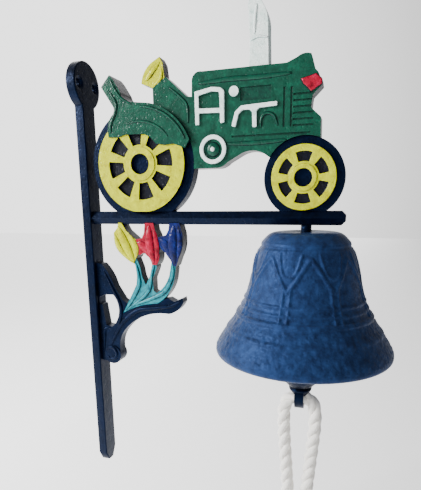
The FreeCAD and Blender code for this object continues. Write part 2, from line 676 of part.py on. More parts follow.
# ------------------------------------------------------------------------------------------------------------
# Hanger: eye bolt, washer and nut
# ------------------------------------------------------------------------------------------------------------
def hanger():
    shank_low = EYE_Z + size("eye_ring_radius")
    shank = cylinder("shank", size("shank_radius"), ARM_BOTTOM + size("shank_in_arm") - shank_low,
                     (HANGER_X, ZERO, shank_low))
    ring = torus("eye_ring", size("eye_ring_radius"), size("eye_wire_radius"), (HANGER_X, ZERO, EYE_Z), "X")
    keep("hanger_bolt", fuse("hanger_bolt", shank, ring))
    disc_blank = cylinder("washer_disc", size("washer_radius"), size("washer_thickness"), (HANGER_X, ZERO, NUT_TOP))
    bore = cylinder("washer_bore", size("shank_radius"), size("washer_thickness"), (HANGER_X, ZERO, NUT_TOP))
    keep("hanger_washer", cut("hanger_washer", disc_blank, bore))
    prism = DOCUMENT.addObject("Part::Prism", "nut_prism")
    prism.Polygon = 6
    prism.setExpression("Circumradius", (size("nut_flats") / 2 / length(math.cos(math.radians(30)))).formula)
    prism.setExpression("Height", size("nut_height").formula)
    place(prism, HANGER_X, ZERO, NUT_BOTTOM)
    thread = cylinder("nut_bore", size("shank_radius"), size("nut_height"), (HANGER_X, ZERO, NUT_BOTTOM))
    keep("hanger_nut", cut("hanger_nut", prism, thread))


# ------------------------------------------------------------------------------------------------------------
# Clapper link and clapper
# ------------------------------------------------------------------------------------------------------------
def clapper_link():
    bow = size("link_bow_radius")
    wire = size("link_wire_radius")
    body = new_body("link_body", HANGER_X, ZERO, LINK_TOP_Z)
    path = new_sketch(body, "link_path", "XZ_Plane")
    pitch = size("link_pitch")
    draw_loop(path, [(-bow, -bow), via(ZERO, ZERO), (bow, -bow), (bow, bow - pitch), via(ZERO, -pitch),
                     (-bow, bow - pitch)])
    section = new_sketch(body, "link_section", "XY_Plane")
    section.setExpression("AttachmentOffset.Base.z", (-bow).formula)
    draw_circle(section, -bow, ZERO, wire)
    pipe = body.newObject("PartDesign::AdditivePipe", "link_pipe")
    pipe.Profile = section
    pipe.Spine = path
    keep("clapper_link", body)


def clapper():
    ring = torus("clapper_ring", size("clapper_ring_radius"), size("eye_wire_radius"),
                 (HANGER_X, ZERO, CLAPPER_RING_Z), "X")
    stem_top = CLAPPER_RING_Z - size("clapper_ring_radius")
    stem = cylinder("clapper_stem", size("clapper_stem_radius"), stem_top - BALL_Z, (HANGER_X, ZERO, BALL_Z))
    ball = DOCUMENT.addObject("Part::Sphere", "clapper_ball")
    ball.setExpression("Radius", size("clapper_ball_radius").formula)
    place(ball, HANGER_X, ZERO, BALL_Z)
    half = size("tail_thickness") / 2
    tail = cylinder("tail_disc", size("tail_radius"), size("tail_thickness"), (HANGER_X - half, ZERO, ROPE_HOLE_Z), "X")
    neck = box("tail_neck", (HANGER_X - half, -size("clapper_stem_radius") * 1.6, ROPE_HOLE_Z),
               (size("tail_thickness"), size("clapper_stem_radius") * 3.2, size("tail_drop")))
    hole = cylinder("rope_hole", size("rope_hole_radius"), size("tail_thickness"),
                    (HANGER_X - half, ZERO, ROPE_HOLE_Z), "X")
    keep("clapper", cut("clapper", fuse("clapper", ring, stem, ball, tail, neck), hole))


# ------------------------------------------------------------------------------------------------------------
# Pull rope: one limp rope doubled through the tail eye, modelled as its two hanging tails
# ------------------------------------------------------------------------------------------------------------
# Points from the middle of the rope hole: along the arm, across it, and up; chosen by hand
ROPE_RIGHT = [(0, 0, 0), (4.4, 0, 0), (10.62, 0, -6.22), (10.9, 0.4, -22), (8.6, 1.2, -50), (5.6, 0.4, -88),
              (5.9, -3.0, -124), (8.4, -3.4, -158), (7.6, 0.6, -187)]
ROPE_LEFT = [(0, 0, 0), (-4.4, 0, 0), (-10.62, 0, -6.22), (-10.9, -0.4, -22), (-8.4, -1.4, -50), (-5.4, -0.2, -86),
             (-6.4, 3.2, -121), (-9.4, 3.6, -152), (-12.6, 0.2, -179)]
SHARED_RUN = 0.45
END_RUN = 0.9


def rope_path(points):
    """Straight runs joined by tangent arcs, each as large as its two runs allow; also the arcs' radii."""
    points = [FreeCAD.Vector(*point) for point in points]
    edges = []
    radii = []
    reached = points[0]
    for index in range(1, len(points) - 1):
        before, corner, after = points[index - 1:index + 2]
        back = (before - corner)
        ahead = (after - corner)
        first_share = END_RUN if index == 1 else SHARED_RUN
        last_share = END_RUN if index == len(points) - 2 else SHARED_RUN
        reach = min(back.Length * first_share, ahead.Length * last_share)
        turn = math.pi - back.getAngle(ahead)
        radius = reach / math.tan(turn / 2)
        back.normalize()
        ahead.normalize()
        inward = back + ahead
        inward.normalize()
        start = corner + back * reach
        end = corner + ahead * reach
        middle = corner + inward * (radius / math.cos(turn / 2) - radius)
        if reached.distanceToPoint(start) > 1e-6:
            edges.append(Part.LineSegment(reached, start).toShape())
        edges.append(Part.Arc(start, middle, end).toShape())
        radii.append(radius)
        reached = end
    edges.append(Part.LineSegment(reached, points[-1]).toShape())
    return Part.Wire(edges), radii


def rope_tail(name, points):
    wire, radii = rope_path(points)
    start = wire.Vertexes[0].Point
    radius = size("rope_diameter").value / 2
    circle = Part.Wire([Part.makeCircle(radius, start, FreeCAD.Vector(1, 0, 0))])
    tube = wire.makePipeShell([circle], True, False)
    thing = DOCUMENT.addObject("Part::Feature", name + "_tube")
    thing.Shape = tube
    place(thing, HANGER_X, ZERO, ROPE_HOLE_Z)
    expected = math.pi * radius ** 2 * wire.Length
    print(f"{name}: length {wire.Length:.1f}, radii", [round(value, 1) for value in radii],
          f"volume against section times length {abs(tube.Volume) / expected:.4f}")
    keep(name, thing)


# ------------------------------------------------------------------------------------------------------------
# Assembly
# ------------------------------------------------------------------------------------------------------------
wall_bar()
ARM = arm()
FENDER = fender_and_seat()
WHEEL_SPACES = wheels(FENDER)
NOSE = nose_cap()
BODY = tractor_body(*WHEEL_SPACES, FENDER, NOSE)
exhaust_stack(BODY)
steering_wheel(BODY)
side_details()
flowers(ARM)
scroll(stems())
bell()
hanger()
clapper_link()
clapper()
rope_tail("rope_right", ROPE_RIGHT)
rope_tail("rope_left", ROPE_LEFT)
DOCUMENT.recompute()

for thing in DOCUMENT.Objects:
    if "Invalid" in thing.State or "Error" in thing.State:
        raise RuntimeError(f"{thing.Name} failed: {thing.State}")
for name, thing in PIECES.items():
    if thing.Shape.isNull() or not thing.Shape.isValid():
        raise RuntimeError(f"{name} has no valid shape")
    if not thing.Shape.Solids:
        raise RuntimeError(f"{name} holds no solid")

os.makedirs("parts", exist_ok=True)
for name, thing in PIECES.items():
    thing.Shape.exportStep(f"parts/{name}.step")
    print(name, len(thing.Shape.Solids), round(thing.Shape.Volume, 1))
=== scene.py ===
# Yard dinner bell: the painted cast bracket with its tractor and tulips, the bell, and the pull rope.

import math
import random

import bmesh
import bpy
from mathutils import Matrix, Vector, noise


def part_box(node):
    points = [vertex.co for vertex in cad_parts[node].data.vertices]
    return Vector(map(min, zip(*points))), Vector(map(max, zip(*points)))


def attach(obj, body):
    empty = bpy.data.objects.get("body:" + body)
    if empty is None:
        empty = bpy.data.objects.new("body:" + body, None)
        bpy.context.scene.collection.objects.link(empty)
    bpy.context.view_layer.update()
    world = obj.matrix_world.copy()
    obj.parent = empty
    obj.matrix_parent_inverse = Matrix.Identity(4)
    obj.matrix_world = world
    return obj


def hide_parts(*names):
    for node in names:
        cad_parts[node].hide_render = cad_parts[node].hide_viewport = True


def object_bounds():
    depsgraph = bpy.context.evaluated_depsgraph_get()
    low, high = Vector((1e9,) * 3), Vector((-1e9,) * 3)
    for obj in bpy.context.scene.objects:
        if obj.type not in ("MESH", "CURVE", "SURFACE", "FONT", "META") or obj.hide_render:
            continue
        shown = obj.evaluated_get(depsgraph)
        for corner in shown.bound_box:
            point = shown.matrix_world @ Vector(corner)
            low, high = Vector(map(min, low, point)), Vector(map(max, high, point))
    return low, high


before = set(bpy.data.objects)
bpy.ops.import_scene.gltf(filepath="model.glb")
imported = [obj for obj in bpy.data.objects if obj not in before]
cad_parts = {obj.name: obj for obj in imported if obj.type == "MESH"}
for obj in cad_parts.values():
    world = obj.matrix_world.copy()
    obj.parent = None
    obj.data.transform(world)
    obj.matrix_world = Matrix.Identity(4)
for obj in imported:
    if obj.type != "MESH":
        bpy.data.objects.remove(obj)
cad_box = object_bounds()
MM = 0.001

# ==================================================================================================
# Studio. A pale floor below the hanging rope and large soft lamps, one of them high on the left as over a
# table. The camera stands at the arm's free end, a little above the bell, and looks slightly down.
# ==================================================================================================
camera_data = bpy.data.cameras.new("camera")
camera = bpy.data.objects.new("camera", camera_data)
bpy.context.scene.collection.objects.link(camera)
bpy.context.scene.camera = camera
yaw = math.radians(18.0)
pitch = math.radians(12.6)
roll = math.radians(-0.6)
forward = Vector((-math.sin(yaw) * math.cos(pitch), math.cos(yaw) * math.cos(pitch), -math.sin(pitch)))
level_right = Vector((math.cos(yaw), math.sin(yaw), 0))
level_up = level_right.cross(forward)
camera_right = level_right * math.cos(roll) + level_up * math.sin(roll)
camera_up = level_up * math.cos(roll) - level_right * math.sin(roll)
camera.rotation_euler = Matrix((camera_right, camera_up, -forward)).transposed().to_euler()
camera.location = Vector((188.8, -288.3, -79.3)) * MM
camera_data.sensor_width = 36
camera_data.lens = 32.3
camera_data.shift_y = 0.112
camera_data.clip_start = 0.01


def soft_lamp(name, place, aim, width, watts):
    """A square lamp at place that faces aim."""
    data = bpy.data.lights.new(name, "AREA")
    data.size = width
    data.energy = watts
    lamp = bpy.data.objects.new(name, data)
    bpy.context.scene.collection.objects.link(lamp)
    lamp.location = place
    lamp.rotation_euler = (Vector(aim) - Vector(place)).to_track_quat("-Z", "Y").to_euler()


middle = (0.09, 0, -0.12)
soft_lamp("window_lamp", (-0.70, -0.50, 0.28), middle, 0.35, 21)
soft_lamp("front_lamp", (-0.1, -0.9, 0.25), middle, 0.5, 0.7)
soft_lamp("back_lamp", (-0.45, 0.75, 0.5), middle, 0.6, 0.5)

def add_node(tree, kind, inputs=None, **settings):
    """Adds a node; inputs maps a socket's name or number to a value or to the socket that feeds it."""
    node = tree.nodes.new(kind)
    for key, value in settings.items():
        setattr(node, key, value)
    for socket, value in (inputs or {}).items():
        if isinstance(value, bpy.types.NodeSocket):
            tree.links.new(value, node.inputs[socket])
        else:
            node.inputs[socket].default_value = value
    return node


def fade(tree, place, direction, start, end):
    """A strength that changes along a direction; start and end are (distance, strength)."""
    along = add_node(tree, "ShaderNodeVectorMath", {0: place, 1: direction}, operation="DOT_PRODUCT")
    strength = add_node(tree, "ShaderNodeMapRange", {
        "Value": along.outputs["Value"], "From Min": start[0], "To Min": start[1], "From Max": end[0],
        "To Max": end[1]})
    return strength.outputs["Result"]


world = bpy.data.worlds.new("studio")
bpy.context.scene.world = world
world.use_nodes = True
sky = world.node_tree.nodes["Background"]
sky.inputs["Color"].default_value = (1, 1, 1, 1)
# The surroundings are brightest towards the back on the wall's side
seen_towards = add_node(world.node_tree, "ShaderNodeTexCoord").outputs["Generated"]
sky_strength = fade(world.node_tree, seen_towards, (-0.7, 0.71, 0), (0.42, 0.35), (0.9, 2.5))
world.node_tree.links.new(sky_strength, sky.inputs["Strength"])

floor_data = bpy.data.meshes.new("floor")
floor_mesh = bmesh.new()
bmesh.ops.create_grid(floor_mesh, x_segments=1, y_segments=1, size=4)
floor_mesh.to_mesh(floor_data)
floor_mesh.free()
floor = bpy.data.objects.new("floor", floor_data)
bpy.context.scene.collection.objects.link(floor)
floor.location.z = cad_box[0][2] - 0.02
floor_paper = bpy.data.materials.new("white_paper")
floor_paper.use_nodes = True
table = floor_paper.node_tree
paper = table.nodes["Principled BSDF"]
paper.inputs["Base Color"].default_value = (0.9, 0.9, 0.9, 1)
paper.inputs["Roughness"].default_value = 0.9
paper.inputs["Emission Color"].default_value = (1, 1, 1, 1)
# The floor glows like a light table on the wall's side and fades slowly outwards
floor_place = add_node(table, "ShaderNodeTexCoord").outputs["Object"]
glow = fade(table, floor_place, (1, -0.12, 0), (-0.3, 1.6), (0.6, 0.15))
table.links.new(glow, paper.inputs["Emission Strength"])
floor_data.materials.append(floor_paper)


# ==================================================================================================
# Wall bar. A flat cast-iron bar with a round head and two countersunk screw holes, dipped in blue-black
# enamel that shows the sand-cast grain under it. Its edges are rounded by the mould and by the thick
# paint.
# ==================================================================================================
def linear(colour):
    """An sRGB hex colour as linear red, green, blue and alpha."""
    channels = [int(colour[place:place + 2], 16) / 255 for place in (1, 3, 5)]
    return [c / 12.92 if c <= 0.04045 else ((c + 0.055) / 1.055) ** 2.4 for c in channels] + [1]


def grain(size_mm):
    """A noise scale whose lumps are about that many millimetres across."""
    return 1 / (size_mm * MM)


def new_material(name):
    """An empty node material with its shader, and the object's own coordinates."""
    material = bpy.data.materials.new(name)
    material.use_nodes = True
    tree = material.node_tree
    shader = tree.nodes["Principled BSDF"]
    coordinates = add_node(tree, "ShaderNodeTexCoord")
    return material, tree, shader, coordinates


def cast_bumps(tree, place, shader, grain_mm=1.3, depth_mm=0.16):
    """Sand-cast iron under paint: fine grain, slow waves, and a few round pits."""
    fine = add_node(tree, "ShaderNodeTexNoise", {"Vector": place, "Scale": grain(grain_mm), "Detail": 4.0})
    wave = add_node(tree, "ShaderNodeTexNoise", {"Vector": place, "Scale": grain(7), "Detail": 1.0})
    pits = add_node(tree, "ShaderNodeTexVoronoi", {"Vector": place, "Scale": grain(3.2)})
    hollow = add_node(tree, "ShaderNodeMapRange", {"Value": pits.outputs["Distance"], "From Min": 0.0,
                                                   "From Max": 0.28, "To Min": -0.8, "To Max": 0.0})
    waves = add_node(tree, "ShaderNodeMath", {0: wave.outputs["Fac"], 1: 1.6}, operation="MULTIPLY")
    rough = add_node(tree, "ShaderNodeMath", {0: fine.outputs["Fac"], 1: waves.outputs[0]}, operation="ADD")
    whole = add_node(tree, "ShaderNodeMath", {0: rough.outputs[0], 1: hollow.outputs[0]}, operation="ADD")
    bump = add_node(tree, "ShaderNodeBump", {"Height": whole.outputs[0], "Distance": depth_mm * MM,
                                             "Strength": 1.0})
    tree.links.new(bump.outputs["Normal"], shader.inputs["Normal"])
    return fine


def dipped_enamel(name, shade, light, roughness=0.36):
    """Semi-gloss enamel over the whole casting, a little lighter where it is rubbed or thin."""
    material, tree, shader, coordinates = new_material(name)
    place = coordinates.outputs["Object"]
    fine = cast_bumps(tree, place, shader)
    patches = add_node(tree, "ShaderNodeTexNoise", {"Vector": place, "Scale": grain(5), "Detail": 5.0,
                                                    "Roughness": 0.65})
    amount = add_node(tree, "ShaderNodeMapRange", {"Value": patches.outputs["Fac"], "From Min": 0.35,
                                                   "From Max": 0.8})
    colour = add_node(tree, "ShaderNodeMix", {"Factor": amount.outputs[0], "A": linear(shade),
                                              "B": linear(light)}, data_type="RGBA")
    tree.links.new(colour.outputs["Result"], shader.inputs["Base Color"])
    gloss = add_node(tree, "ShaderNodeMapRange", {
        "Value": fine.outputs["Fac"], "From Min": 0.3, "From Max": 0.7, "To Min": roughness - 0.08,
        "To Max": roughness + 0.12})
    tree.links.new(gloss.outputs[0], shader.inputs["Roughness"])
    shader.inputs["IOR"].default_value = 1.5
    shader.inputs["Specular IOR Level"].default_value = 0.25
    shader.inputs["Specular Tint"].default_value = linear("#5a8ee6")
    return material


def soften(thing, width_mm, segments=3):
    """Rounds a casting's edges as thick paint over a sand mould does, without touching its mesh."""
    weld = thing.modifiers.new("weld", "WELD")
    weld.merge_threshold = 0.00001
    bevel = thing.modifiers.new("round_edges", "BEVEL")
    bevel.width = width_mm * MM
    bevel.segments = segments
    bevel.limit_method = "ANGLE"
    bevel.angle_limit = math.radians(32)
    thing.modifiers.new("even_shading", "WEIGHTED_NORMAL")


def finish_node(name, material, width_mm, segments=3):
    """Gives a carried-over node its finish and its softened edges."""
    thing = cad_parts[name]
    thing.data.materials.clear()
    thing.data.materials.append(material)
    soften(thing, width_mm, segments)


blue_black = dipped_enamel("blue_black_enamel", "#030409", "#070e22")
finish_node("wall_bar", blue_black, 1.1)


# ==================================================================================================
# Arm. The six-sided bar cast in one with the wall bar; the tractor stands on it and the eye bolt screws
# into it. It has the same dipped enamel, and its ridge along each side catches the light.
# ==================================================================================================
finish_node("arm", blue_black, 1.0)


# ==================================================================================================
# Scroll brace. A cast leaf scroll in the corner below the arm, dipped blue-black like the bar, with a
# raised vein along each leaf and a rolled knob at its foot.
# ==================================================================================================
SMOOTH = 8


def smooth_path(points, across=SMOOTH):
    """A smooth line through given points, as a Catmull-Rom curve."""
    ends = [points[0]] + list(points) + [points[-1]]
    line = []
    for index in range(1, len(ends) - 2):
        before, start, end, after = (Vector(point) for point in ends[index - 1:index + 3])
        for step in range(across):
            t = step / across
            square = (2 * before - 5 * start + 4 * end - after) * t * t
            cube = (3 * start - before - 3 * end + after) * t ** 3
            line.append(0.5 * (2 * start + (end - before) * t + square + cube))
    line.append(Vector(points[-1]))
    return line


def bridge(mesh, rings):
    """Bands of faces from each ring of points to the next."""
    for first, second in zip(rings, rings[1:]):
        for step in range(len(first)):
            after = (step + 1) % len(first)
            mesh.faces.new((first[step], first[after], second[after], second[step]))


def close_ends(mesh, rings):
    """Flat faces over the first and the last ring."""
    mesh.faces.new(rings[0][::-1])
    mesh.faces.new(rings[-1])


def mesh_piece(name, mesh, material):
    """Makes a smooth-shaded piece of a mesh, with its faces turned outwards."""
    bmesh.ops.recalc_face_normals(mesh, faces=mesh.faces)
    for face in mesh.faces:
        face.smooth = True
    data = bpy.data.meshes.new(name)
    mesh.to_mesh(data)
    mesh.free()
    data.materials.append(material)
    piece = bpy.data.objects.new(name, data)
    bpy.context.scene.collection.objects.link(piece)
    return piece


BEAD_STEPS = 8
BEAD_BEDDED = 0.3
BEAD_END = 0.08


def raised(name, strokes, level_mm, material):
    """Raised lines and petals on both sides of the casting, in millimetres in the side view.

    Each stroke is (points, width, height, taper): a half-round bead that narrows to its ends by the
    taper's power.
    """
    mesh = bmesh.new()
    for points, width, height, taper in strokes:
        line = smooth_path(points)
        for side in (-1, 1):
            rows = []
            for index, point in enumerate(line):
                ahead = line[min(index + 1, len(line) - 1)] - line[max(index - 1, 0)]
                normal = Vector((-ahead[1], ahead[0])).normalized()
                swell = max(math.sin(math.pi * index / (len(line) - 1)), BEAD_END) ** taper
                row = []
                for step in range(BEAD_STEPS + 1):
                    turn = math.pi * step / BEAD_STEPS
                    offset = normal * (math.cos(turn) * width / 2 * swell)
                    rise = level_mm - BEAD_BEDDED + (BEAD_BEDDED + height * swell) * math.sin(turn)
                    corner = (point[0] + offset[0], side * rise, point[1] + offset[1])
                    row.append(mesh.verts.new(Vector(corner) * MM))
                rows.append(row)
            bridge(mesh, rows)
            close_ends(mesh, rows)
    piece = mesh_piece(name, mesh, material)
    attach(piece, "bracket")


plate_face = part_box("wall_bar")[1][0] / MM
arm_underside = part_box("arm")[0][2] / MM


def below_arm(*points):
    """Points measured from the corner under the arm at the wall bar."""
    return [(plate_face + across, arm_underside + up) for across, up in points]


scroll_black = dipped_enamel("scroll_enamel", "#030409", "#081128", 0.34)
finish_node("scroll_brace", scroll_black, 1.2)
scroll_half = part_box("tulip_stems")[1][1] / MM
raised("scroll_veins", [
    (below_arm((9, -92), (14, -82), (21, -72), (33, -63), (47, -60.5), (60, -58), (67, -54)), 3.4, 1.5, 0.5),
    (below_arm((14, -82), (18, -70), (18.5, -60), (13, -48), (6, -34)), 3.0, 1.2, 0.6),
    (below_arm((2, -100), (3, -88), (4, -80), (9, -78)), 3.0, 1.0, 0.7),
], scroll_half, scroll_black)
knob_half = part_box("scroll_brace")[1][1] / MM
raised("scroll_knob_curl", [
    (below_arm((5, -97), (7, -94), (11, -94), (13.5, -98), (12, -102), (8, -103), (6, -100.5)),
     2.6, 0.9, 0.5),
], knob_half, scroll_black)


# ==================================================================================================
# Tulip stems. Three cast stems that fan out from the scroll; the faces are brushed turquoise over the
# dip, and the dip shows at the edges and in the grooves beside each stem's rounded ridge.
# ==================================================================================================
def brushed_paint(name, colour, shade, light, face_mm=None, floor_mm=None, dip_and_painted_shade="#050918"):
    """Gloss paint brushed on the faces of the dipped casting; the sides and sunk floors take a second colour:
    the dip itself at the sides and in the wheels' windows, and painted shade in the body's shallow seams and
    on the off-white pieces' sides.
    """
    material, tree, shader, coordinates = new_material(name)
    place = coordinates.outputs["Object"]
    cast_bumps(tree, place, shader, grain_mm=1.5, depth_mm=0.2)
    patches = add_node(tree, "ShaderNodeTexNoise", {"Vector": place, "Scale": grain(4), "Detail": 5.0,
                                                    "Roughness": 0.6})
    thin = add_node(tree, "ShaderNodeMapRange", {"Value": patches.outputs["Fac"], "From Min": 0.3,
                                                 "From Max": 0.48})
    thick = add_node(tree, "ShaderNodeMapRange", {"Value": patches.outputs["Fac"], "From Min": 0.52,
                                                  "From Max": 0.72})
    coat = add_node(tree, "ShaderNodeMix", {"Factor": thin.outputs[0], "A": linear(shade),
                                            "B": linear(colour)}, data_type="RGBA")
    top = add_node(tree, "ShaderNodeMix", {"Factor": thick.outputs[0], "A": coat.outputs["Result"],
                                           "B": linear(light)}, data_type="RGBA")
    facing = add_node(tree, "ShaderNodeSeparateXYZ", {"Vector": coordinates.outputs["Normal"]})
    outward = add_node(tree, "ShaderNodeMath", {0: facing.outputs["Y"]}, operation="ABSOLUTE")
    wobble = add_node(tree, "ShaderNodeTexNoise", {"Vector": place, "Scale": grain(2.2), "Detail": 3.0})
    edge = add_node(tree, "ShaderNodeMath", {0: wobble.outputs["Fac"], 1: 0.6, 2: outward.outputs[0]},
                    operation="MULTIPLY_ADD")
    brushed = add_node(tree, "ShaderNodeMapRange", {"Value": edge.outputs[0], "From Min": 0.95,
                                                    "From Max": 1.08})
    cover = brushed.outputs[0]
    # Below floor_mm the colour falls to the second colour: black paint in the wheels' windows, painted shade
    # in the body's shallow panel and seams.
    if face_mm:
        position = add_node(tree, "ShaderNodeSeparateXYZ", {"Vector": place})
        depth = add_node(tree, "ShaderNodeMath", {0: position.outputs["Y"]}, operation="ABSOLUTE")
        ragged = add_node(tree, "ShaderNodeMath", {
            0: wobble.outputs["Fac"], 1: 1.2 * MM, 2: depth.outputs[0]}, operation="MULTIPLY_ADD")
        level = add_node(tree, "ShaderNodeMapRange", {
            "Value": ragged.outputs[0], "From Min": (floor_mm + 1.1) * MM, "From Max": (face_mm + 0.1) * MM})
        both = add_node(tree, "ShaderNodeMath", {0: cover, 1: level.outputs[0]}, operation="MULTIPLY")
        cover = both.outputs[0]
    colour_mix = add_node(tree, "ShaderNodeMix", {"Factor": cover, "A": linear(dip_and_painted_shade),
                                                  "B": top.outputs["Result"]}, data_type="RGBA")
    tree.links.new(colour_mix.outputs["Result"], shader.inputs["Base Color"])
    shader.inputs["Roughness"].default_value = 0.3
    shader.inputs["Specular IOR Level"].default_value = 0.22
    shader.inputs["IOR"].default_value = 1.5
    return material


turquoise = brushed_paint("turquoise_enamel", "#10818e", "#064454", "#3ca8b0")
finish_node("tulip_stems", turquoise, 0.9)
stem_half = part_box("tulip_stems")[1][1] / MM
raised("stem_ridges", [
    (below_arm((33, -28), (34.6, -36), (34.8, -44), (29.5, -54), (23, -63)), 3.2, 1.2, 0.35),
    (below_arm((47.8, -27.5), (45, -37), (42.8, -47), (35, -55), (24.5, -62.5)), 3.0, 1.3, 0.35),
    (below_arm((62, -27.5), (61, -37), (55, -47.5), (44, -53.5), (30, -59)), 3.4, 1.3, 0.35),
], stem_half, turquoise)


# ==================================================================================================
# Tulips. Three cast flowers between the stems and the arm, each with a pointed petal in front of two side
# petals, brushed lemon, crimson and royal blue by hand.
# ==================================================================================================
tulip_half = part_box("tulip_red")[1][1] / MM
lemon_tulip = brushed_paint("lemon_enamel", "#bcc000", "#a09c00", "#d0d408")
crimson = brushed_paint("crimson_enamel", "#9c0028", "#600014", "#b81a44")
royal_blue = brushed_paint("royal_blue_enamel", "#051252", "#030822", "#142c7c")
for name, finish, slot, petals in (
    ("tulip_yellow", lemon_tulip, "yellow_enamel", [
        (below_arm((32, -27), (26, -15), (20.5, -1.5)), 7, 1.2, 0.7),
        (below_arm((30.5, -27), (20.8, -17), (17.4, -7)), 4.6, 0.8, 0.7),
        (below_arm((33.6, -24), (33.6, -16), (29, -7)), 5, 0.8, 0.7)]),
    ("tulip_red", crimson, "red_enamel", [
        (below_arm((47.5, -27.5), (44.6, -14), (44.8, -0.5)), 7, 1.2, 0.7),
        (below_arm((49.4, -26), (50.4, -15), (48, -3.5)), 4.2, 0.8, 0.7),
        (below_arm((46, -24), (40, -15.5), (35, -13)), 6, 0.8, 0.7)]),
    ("tulip_blue", royal_blue, "blue_enamel", [
        (below_arm((63.5, -27.5), (62, -14), (63.8, -0.5)), 7, 1.2, 0.7),
        (below_arm((65.6, -24), (67.8, -13), (67, -3)), 4.4, 0.8, 0.7),
        (below_arm((61.5, -25), (57.5, -15), (53.4, -10)), 6, 0.8, 0.7)]),
):
    finish_node(name, finish, 1.3)
    raised(name + "_petals", petals, tulip_half, finish)


# ==================================================================================================
# Wheels. Cast spoked wheels brushed lemon on the rim and spokes, with the dip left in the windows; round
# each one runs the blue-black tyre, and the axle's end stands in the hub.
# ==================================================================================================
# The windows are sunk this far below a wheel's face, and the hub's boss stands this far above it, in mm
WINDOW_DEPTH = 2.4
BOSS_RISE = 0.6
for wheel in ("rear", "front"):
    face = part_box(wheel + "_wheel")[1][1] / MM - BOSS_RISE
    lemon = brushed_paint(wheel + "_wheel_enamel", "#bcc000", "#a09c00", "#d0d408", face, face - WINDOW_DEPTH)
    finish_node(wheel + "_wheel", lemon, 0.5, 2)
    finish_node(wheel + "_tyre", blue_black, 1.4)
    finish_node(wheel + "_axle", blue_black, 0.5)


# ==================================================================================================
# Fender and seat. The cast guard over the rear tyre with the seat back on it; brushed bottle green, with
# a bead along the guard's outer edge.
# ==================================================================================================
def middle_of(node):
    """The middle of a node in the side view, in millimetres."""
    low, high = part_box(node)
    return ((low[0] + high[0]) / 2 / MM, (low[2] + high[2]) / 2 / MM)


deck = (middle_of("rear_axle")[0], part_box("arm")[1][2] / MM)


def on_deck(*points):
    """Points measured from the top of the arm under the rear axle."""
    return [(deck[0] + across, deck[1] + up) for across, up in points]


bottle_green = brushed_paint("bottle_green_enamel", "#004030", "#003426", "#04543e")
finish_node("fender", bottle_green, 1.6)
fender_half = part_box("fender")[1][1] / MM
axle_up = middle_of("rear_axle")[1] - deck[1]


def round_axle(radius, first, last, count=7):
    """Points on an arc round the rear axle, turned clockwise from straight up."""
    turns = [math.radians(first + (last - first) * step / (count - 1)) for step in range(count)]
    return on_deck(*[(radius * math.sin(turn), axle_up + radius * math.cos(turn)) for turn in turns])


raised("fender_beads", [
    (round_axle(36, 4, 66), 2.2, 1.0, 0.15),
    (round_axle(27, -18, 52), 2.0, 0.7, 0.3),
    (on_deck((-19, 86), (-15.5, 79), (-11, 73.5), (-4, 69.5)), 2.2, 0.9, 0.3),
    (on_deck((-20.5, 52), (-20, 58), (-16.4, 65), (-15.5, 71), (-20.5, 79)), 2.4, 0.9, 0.3),
], fender_half, bottle_green)


# ==================================================================================================
# Tractor body. Bonnet, column and sump cast in one slab with the bracket, brushed bottle green; the
# bonnet panel, the grille and the seams are sunk, and painted shade darkens them towards the dip colour.
# ==================================================================================================
body_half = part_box("tractor_body")[1][1] / MM
# Painted shade: the green darkens to the dip colour over this depth in mm, so that the shallow panel and
# seams look shaded
PAINTED_SHADE_DEPTH = 2.2
body_green = brushed_paint("tractor_green_enamel", "#004030", "#003426", "#04543e", body_half,
                           body_half - PAINTED_SHADE_DEPTH)
finish_node("tractor_body", body_green, 0.7, 2)
raised("pipe_runs", [
    (on_deck((82, 50.5), (82.5, 56), (85.5, 58.5), (90, 57), (92.5, 51)), 2.2, 1.1, 0.3),
    (on_deck((42, 78.6), (60, 79.6), (80, 79.3), (100, 79.8)), 3.4, 0.9, 0.3),
    (on_deck((22, 78), (30, 71.5), (34, 66), (34.5, 56)), 2.2, 0.9, 0.3),
    (on_deck((14, 60), (17, 52), (24, 45), (31, 35)), 2.0, 0.8, 0.3),
    (on_deck((60, 42), (74, 41.6), (88, 42), (98, 42.6)), 3.0, 0.8, 0.3),
], body_half, bottle_green)


# ==================================================================================================
# Nose cap. The lamp on the tractor's nose, a small wedge cast in one with the body. Its faces are brushed
# crimson by hand, and its sides keep the blue-black dip.
# ==================================================================================================
finish_node("nose_cap", crimson, 1.0)


# ==================================================================================================
# Exhaust and steering wheel. The stack stands on the bonnet and is brushed off-white, faces and edges, and
# its sides carry painted shade in grey teal;
# the steering wheel stands over the column and is brushed lemon with a ridge across it.
# ==================================================================================================
# Painted shade: the sides of the off-white pieces take a greyer teal than their faces.
off_white = brushed_paint("off_white_enamel", "#e6f4ef", "#c2dcd6", "#fbfffd", dip_and_painted_shade="#8fa9a8")
finish_node("exhaust_stack", off_white, 1.6)
raised("exhaust_seams", [
    (on_deck((75.4, 100), (80, 101.5), (85.4, 100.5)), 1.6, 0.7, 0.2),
    (on_deck((77.4, 103), (77.6, 112), (78.6, 119)), 2.4, 0.8, 0.4),
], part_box("exhaust_stack")[1][1] / MM, off_white)
finish_node("steering_wheel", lemon_tulip, 1.2)
raised("steering_ridge", [
    (on_deck((5, 83.5), (9, 88), (15.4, 94)), 4, 1.0, 0.6),
    (on_deck((11, 80.5), (15.5, 84), (16.6, 90)), 3, 0.8, 0.6),
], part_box("steering_wheel")[1][1] / MM, lemon_tulip)


# ==================================================================================================
# Engine details. The cab frame, manifold, filler cap and belt pulley stand up from the body's sides and
# have their tops brushed off-white, with painted shade in grey teal on their sides; the pulley's middle is a
# green dome with a white dot.
# ==================================================================================================
BOSS_STEPS = 40
BOSS_BEDDED = 0.4


